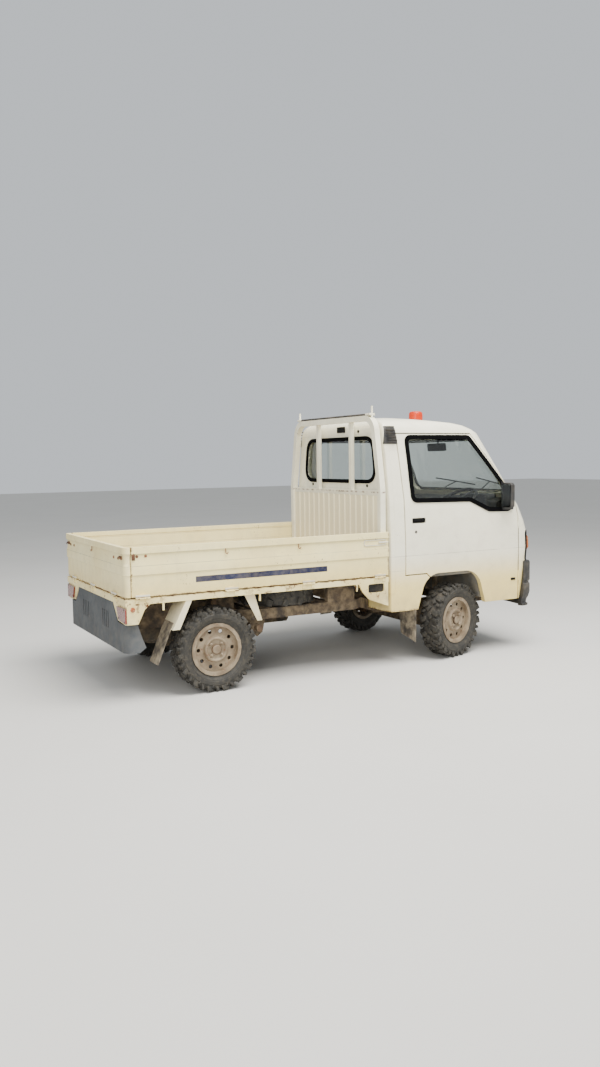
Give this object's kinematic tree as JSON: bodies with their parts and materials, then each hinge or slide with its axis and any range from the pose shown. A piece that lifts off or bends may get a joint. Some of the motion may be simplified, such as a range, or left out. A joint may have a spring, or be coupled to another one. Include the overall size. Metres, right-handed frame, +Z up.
{
  "type": "kei truck with drop-side bed and guard frame",
  "caption": "Small cab-over truck with steered front wheels, hinged doors, a flat bed with folding side and tail gates, and a guard frame with bars behind the cab.",
  "frame": {"origin": "on the ground under the middle of the truck's length and width", "axes": "+X forward, +Y left, +Z up"},
  "size_m": [3.295, 1.602, 1.831],
  "materials": {
    "cab_paint": "gloss",
    "door_paint": "gloss",
    "gate_paint": "satin",
    "tail_paint": "satin",
    "bed_paint": "satin",
    "bed_floor_paint": "matt",
    "guard_paint": "satin",
    "mudguard_paint": "satin",
    "chassis_paint": "matt",
    "engine_metal": "matt",
    "tank_paint": "matt",
    "drum_iron": "matt",
    "wheel_paint": "matt",
    "tyre_rubber": "matt",
    "flap_rubber": "matt",
    "pad_rubber": "matt",
    "bumper_plastic": "matt",
    "cover_plastic": "matt",
    "mirror_plastic": "matt",
    "vent_plastic": "matt",
    "dash_plastic": "matt",
    "steering_plastic": "satin",
    "cabin_floor_paint": "matt",
    "seat_cloth": "matt",
    "window_glass": "gloss",
    "door_window_glass": "gloss",
    "headlamp_lens": "gloss",
    "tail_lamp_lens": "gloss",
    "beacon_lens": "gloss"
  },
  "bodies": {
    "chassis": {"frame": "chassis_paint", "cab_floor": "cabin_floor_paint", "cab_side_right": "cab_paint", "cab_side_left": "cab_paint", "cab_back": "cab_paint", "cab_roof": "cab_paint", "cab_front": "cab_paint", "cab_glass": "window_glass", "dashboard": "dash_plastic", "seats": "seat_cloth", "headlamps": "headlamp_lens", "front_bumper": "bumper_plastic", "pillar_vents": "vent_plastic", "beacon": "beacon_lens", "bed_floor": "bed_floor_paint", "bed_frame": "bed_paint", "bed_bearers": "chassis_paint", "lamp_housings": "bed_paint", "bed_skirts": "bed_paint", "rope_pegs": "bed_paint", "bed_front_wall": "bed_paint", "guard_frame": "guard_paint", "guard_pad": "pad_rubber", "tail_lamps": "tail_lamp_lens", "rear_cover": "cover_plastic", "mudguards": "mudguard_paint", "mud_flaps": "flap_rubber", "spare_wheel": "tyre_rubber", "engine": "engine_metal", "fuel_tank": "tank_paint", "rear_suspension": "drum_iron", "front_suspension": "chassis_paint"},
    "wheel_rear_right": {"tyre_rear_right": "tyre_rubber", "rim_rear_right": "wheel_paint"},
    "wheel_rear_left": {"tyre_rear_left": "tyre_rubber", "rim_rear_left": "wheel_paint"},
    "wheel_front_right": {"tyre_front_right": "tyre_rubber", "rim_front_right": "wheel_paint"},
    "wheel_front_left": {"tyre_front_left": "tyre_rubber", "rim_front_left": "wheel_paint"},
    "steering_knuckle_right": {"knuckle_right": "drum_iron"},
    "steering_knuckle_left": {"knuckle_left": "drum_iron"},
    "steering": {"steering_wheel": "steering_plastic"},
    "right_door": {"door_right": "door_paint", "door_glass_right": "door_window_glass", "mirror_right": "mirror_plastic"},
    "left_door": {"door_left": "door_paint", "door_glass_left": "door_window_glass", "mirror_left": "mirror_plastic"},
    "right_gate": {"side_gate_right": "gate_paint"},
    "left_gate": {"side_gate_left": "gate_paint"},
    "rear_gate": {"tail_gate": "tail_paint"}
  },
  "joints": [
    {"name": "rear_right_wheel_spin", "type": "hinge", "parent": "chassis", "child": "wheel_rear_right", "pos_m": [-1.0415, -0.605, 0.27], "axis": [0, 1, 0], "continuous": true},
    {"name": "rear_left_wheel_spin", "type": "hinge", "parent": "chassis", "child": "wheel_rear_left", "pos_m": [-1.0415, 0.605, 0.27], "axis": [0, 1, 0], "continuous": true},
    {"name": "steer_right", "type": "hinge", "parent": "chassis", "child": "steering_knuckle_right", "pos_m": [0.8435, -0.545, 0.27], "axis": [0, 0, 1], "range_deg": [-45.7, 14.3]},
    {"name": "steer_left", "type": "hinge", "parent": "chassis", "child": "steering_knuckle_left", "pos_m": [0.8435, 0.545, 0.27], "axis": [0, 0, 1], "range_deg": [-45.7, 14.3]},
    {"name": "steering_wheel_turn", "type": "hinge", "parent": "chassis", "child": "steering", "pos_m": [1.1195, -0.33, 1.125], "axis": [-0.5, 0, 0.866], "range_deg": [-731.2, 228.8]},
    {"name": "front_right_wheel_spin", "type": "hinge", "parent": "steering_knuckle_right", "child": "wheel_front_right", "pos_m": [0.85974, -0.60276, 0.27], "axis": [-0.2706, 0.9627, 0], "continuous": true},
    {"name": "front_left_wheel_spin", "type": "hinge", "parent": "steering_knuckle_left", "child": "wheel_front_left", "pos_m": [0.82726, 0.60276, 0.27], "axis": [-0.2706, 0.9627, 0], "continuous": true},
    {"name": "door_right_swing", "type": "hinge", "parent": "chassis", "child": "right_door", "pos_m": [1.4405, -0.692, 0.9], "axis": [0, 0, 1], "range_deg": [0, 70]},
    {"name": "door_left_swing", "type": "hinge", "parent": "chassis", "child": "left_door", "pos_m": [1.4405, 0.692, 0.9], "axis": [0, 0, -1], "range_deg": [0, 70]},
    {"name": "side_gate_right_drop", "type": "hinge", "parent": "chassis", "child": "right_gate", "pos_m": [-0.6675, -0.6915, 0.641], "axis": [1, 0, 0], "range_deg": [0, 175]},
    {"name": "side_gate_left_drop", "type": "hinge", "parent": "chassis", "child": "left_gate", "pos_m": [-0.6675, 0.6915, 0.641], "axis": [-1, 0, 0], "range_deg": [0, 175]},
    {"name": "tail_gate_drop", "type": "hinge", "parent": "chassis", "child": "rear_gate", "pos_m": [-1.6415, 0, 0.641], "axis": [0, -1, 0], "range_deg": [0, 175]}
  ],
  "couplings": [
    {"joint": "steer_left", "follows": "steer_right", "ratio": 1},
    {"joint": "steering_wheel_turn", "follows": "steer_right", "ratio": 16}
  ]
}
